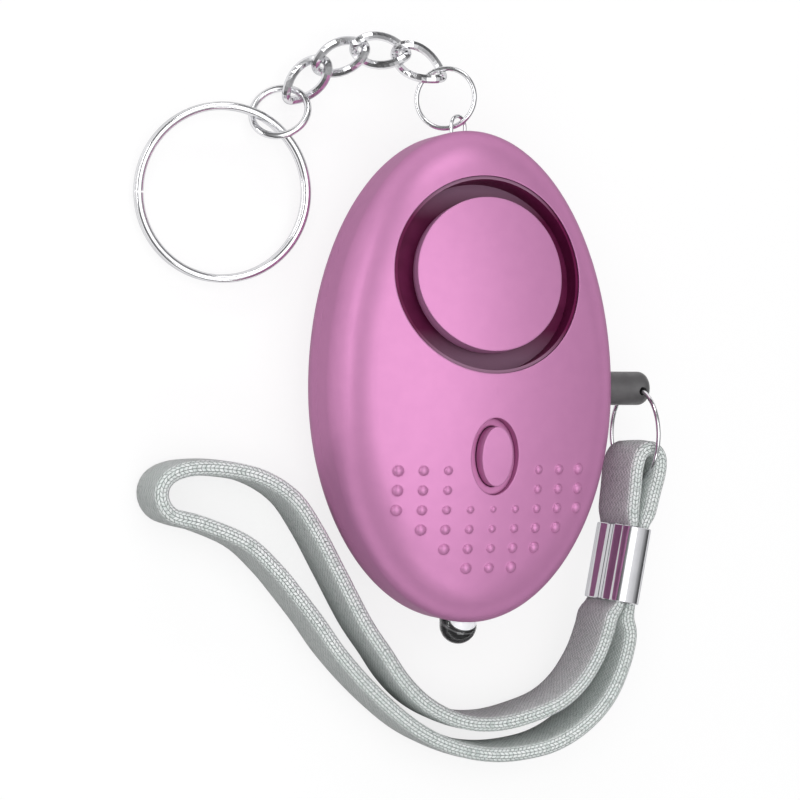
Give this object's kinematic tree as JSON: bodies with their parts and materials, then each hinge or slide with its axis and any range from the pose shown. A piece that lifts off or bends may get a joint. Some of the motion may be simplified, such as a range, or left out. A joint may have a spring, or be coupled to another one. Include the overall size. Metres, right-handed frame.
{
  "type": "personal safety alarm",
  "caption": "Egg-shaped personal alarm with a sounder ring, torch button and lamp, a pull pin on a wrist strap, and a key ring on a short chain.",
  "frame": {"origin": "centre of the flat on the back, which lies on the table", "axes": "+Z out of the front face, +Y along the body to the chain, +X to the pull pin"},
  "size_m": [0.0712, 0.0985, 0.0253],
  "materials": {
    "shell_pink": "satin metallic",
    "groove_plum": "dark satin",
    "piezo_brass": "plain",
    "black_plastic": "matt",
    "grey_plastic": "matt",
    "board_green": "satin",
    "coil_copper": "enamelled",
    "clear_lamp": "clear",
    "plated_steel": "plated",
    "pin_grey": "satin",
    "chrome": "polished",
    "webbing": "woven"
  },
  "bodies": {
    "housing": {"front_shell": "shell_pink", "rear_shell": "shell_pink", "sounder_grille": "groove_plum", "sounder_cap": "shell_pink", "piezo_disc": "piezo_brass", "tact_switch": "black_plastic", "circuit_board": "board_green", "boost_coil": "coil_copper", "driver_chip": "black_plastic", "led_lamp": "clear_lamp", "led_leads": "plated_steel", "battery_cradle": "grey_plastic", "button_cells": "plated_steel", "battery_contact": "piezo_brass", "battery_spring": "piezo_brass", "switch_base": "black_plastic", "fixed_contact": "piezo_brass", "wrist_strap": "webbing", "housing_screws": "plated_steel", "chain_staple": "chrome"},
    "torch_button": {"torch_button": "shell_pink", "switch_plunger": "grey_plastic"},
    "pull_pin": {"pull_pin": "pin_grey", "pin_ring": "chrome", "strap_ferrule": "chrome", "strap_fold": "webbing"},
    "switch_leaf": {"switch_leaf": "piezo_brass"},
    "top_ring": {"top_ring": "chrome"},
    "chain_link_1": {"chain_link_1": "chrome"},
    "chain_link_2": {"chain_link_2": "chrome"},
    "chain_link_3": {"chain_link_3": "chrome"},
    "chain_link_4": {"chain_link_4": "chrome"},
    "end_ring": {"end_ring": "chrome"},
    "key_ring": {"key_ring": "chrome"}
  },
  "joints": [
    {"name": "button_press", "type": "slide", "parent": "housing", "child": "torch_button", "axis": [0, 0, -1], "range_m": [0, 0.0006], "stiffness_N_per_m": 400},
    {"name": "pin_pull", "type": "slide", "parent": "housing", "child": "pull_pin", "axis": [1, 0, 0], "range_m": [0, 0.015]},
    {"name": "leaf_swing", "type": "hinge", "parent": "housing", "child": "switch_leaf", "pos_m": [0.0082, 0.005, 0.0115], "axis": [0, 0, 1], "range_deg": [0, 8]},
    {"name": "top_ring_swing", "type": "hinge", "parent": "housing", "child": "top_ring", "pos_m": [0, 0.0352, 0.0115], "axis": [0, 0, 1], "range_deg": [-10, 2]},
    {"name": "link_1_swing", "type": "hinge", "parent": "top_ring", "child": "chain_link_1", "pos_m": [-0.00212, 0.0421, 0.00928], "axis": [0, 0, 1], "range_deg": [-10, 2]},
    {"name": "link_2_swing", "type": "hinge", "parent": "chain_link_1", "child": "chain_link_2", "pos_m": [-0.00666, 0.04494, 0.00764], "axis": [0, 0, 1], "range_deg": [-10, 2]},
    {"name": "link_3_swing", "type": "hinge", "parent": "chain_link_2", "child": "chain_link_3", "pos_m": [-0.01199, 0.0455, 0.006], "axis": [0, 0, 1], "range_deg": [-10, 2]},
    {"name": "link_4_swing", "type": "hinge", "parent": "chain_link_3", "child": "chain_link_4", "pos_m": [-0.01684, 0.04324, 0.00437], "axis": [0, 0, 1], "range_deg": [-10, 2]},
    {"name": "end_ring_swing", "type": "hinge", "parent": "chain_link_4", "child": "end_ring", "pos_m": [-0.02049, 0.03932, 0.00273], "axis": [0, 0, 1], "range_deg": [-10, 2]},
    {"name": "key_ring_swing", "type": "hinge", "parent": "end_ring", "child": "key_ring", "pos_m": [-0.02344, 0.03533, 0.00323], "axis": [0, 0, 1], "range_deg": [-12, 4]}
  ],
  "couplings": [
    {"joint": "leaf_swing", "follows": "pin_pull", "rad_per_m": 9.3}
  ]
}
